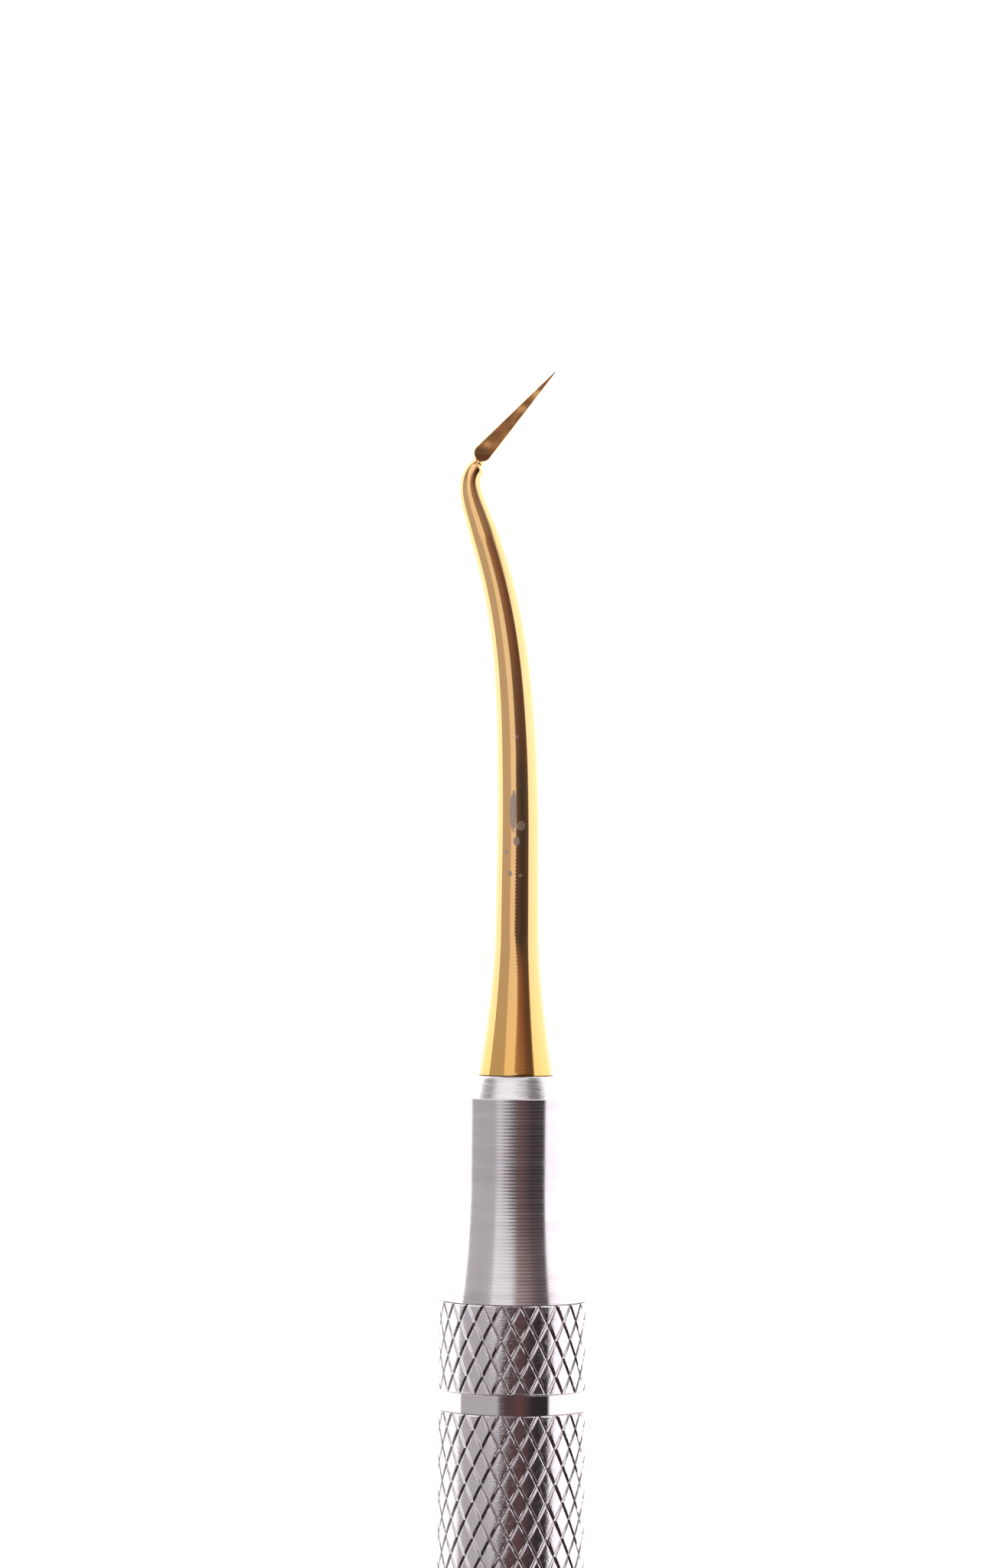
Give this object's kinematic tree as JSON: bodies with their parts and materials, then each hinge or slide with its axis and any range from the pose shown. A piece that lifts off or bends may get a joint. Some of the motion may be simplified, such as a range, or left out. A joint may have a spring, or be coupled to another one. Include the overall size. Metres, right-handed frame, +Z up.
{
  "type": "dental explorer",
  "caption": "Double-ended dental explorer: knurled tube handle with a collet chuck, smooth band, tapered nose sleeve and coated pointed insert at each end.",
  "frame": {"origin": "under the middle of the instrument, at the lowest line of the handle tube", "axes": "+X along the instrument towards end A, +Y to the side its shank bends to, +Z up, away from the surface it lies on, towards the flat of both blades"},
  "size_m": [0.1756, 0.008, 0.008],
  "materials": {
    "gold_coating": "mirror-polished titanium nitride coating on stainless steel",
    "turned_steel": "coarse turned stainless steel",
    "satin_steel": "satin stainless steel with fine turning marks",
    "polished_steel": "mirror-polished stainless steel",
    "knurled_steel": "polished diamond knurl on stainless steel",
    "spring_steel": "plain spring steel",
    "bronze": "plain bronze",
    "seal_rubber": "matt silicone rubber"
  },
  "bodies": {
    "handle": {"handle_tube": "knurled_steel", "spigot_a": "polished_steel", "spigot_seal_a": "seal_rubber", "collet_a": "turned_steel", "stop_screw_a": "spring_steel", "sleeve_key_pin_a": "spring_steel", "spigot_b": "polished_steel", "spigot_seal_b": "seal_rubber", "collet_b": "turned_steel", "stop_screw_b": "spring_steel", "sleeve_key_pin_b": "spring_steel"},
    "sleeve_a": {"nose_sleeve_a": "satin_steel", "thrust_washer_a": "bronze"},
    "collar_a": {"knurled_collar_a": "knurled_steel", "collar_snap_ring_a": "spring_steel"},
    "tip_a": {"explorer_tip_a": "gold_coating"},
    "sleeve_b": {"nose_sleeve_b": "satin_steel", "thrust_washer_b": "bronze"},
    "collar_b": {"knurled_collar_b": "knurled_steel", "collar_snap_ring_b": "spring_steel"},
    "tip_b": {"explorer_tip_b": "gold_coating"}
  },
  "joints": [
    {"name": "sleeve_slide_a", "type": "slide", "parent": "handle", "child": "sleeve_a", "axis": [1, 0, 0], "range_m": [0, 0.001]},
    {"name": "collar_turn_a", "type": "hinge", "parent": "sleeve_a", "child": "collar_a", "pos_m": [0.0362, 0, 0.004], "axis": [1, 0, 0], "range_deg": [0, 720]},
    {"name": "tip_pull_a", "type": "slide", "parent": "handle", "child": "tip_a", "axis": [1, 0, 0], "range_m": [0, 0.012]},
    {"name": "sleeve_slide_b", "type": "slide", "parent": "handle", "child": "sleeve_b", "axis": [-1, 0, 0], "range_m": [0, 0.001]},
    {"name": "collar_turn_b", "type": "hinge", "parent": "sleeve_b", "child": "collar_b", "pos_m": [-0.0362, 0, 0.004], "axis": [-1, 0, 0], "range_deg": [0, 720]},
    {"name": "tip_pull_b", "type": "slide", "parent": "handle", "child": "tip_b", "axis": [-1, 0, 0], "range_m": [0, 0.012]}
  ],
  "couplings": [
    {"joint": "collar_turn_a", "follows": "sleeve_slide_a", "rad_per_m": 12566},
    {"joint": "collar_turn_b", "follows": "sleeve_slide_b", "rad_per_m": 12566}
  ]
}
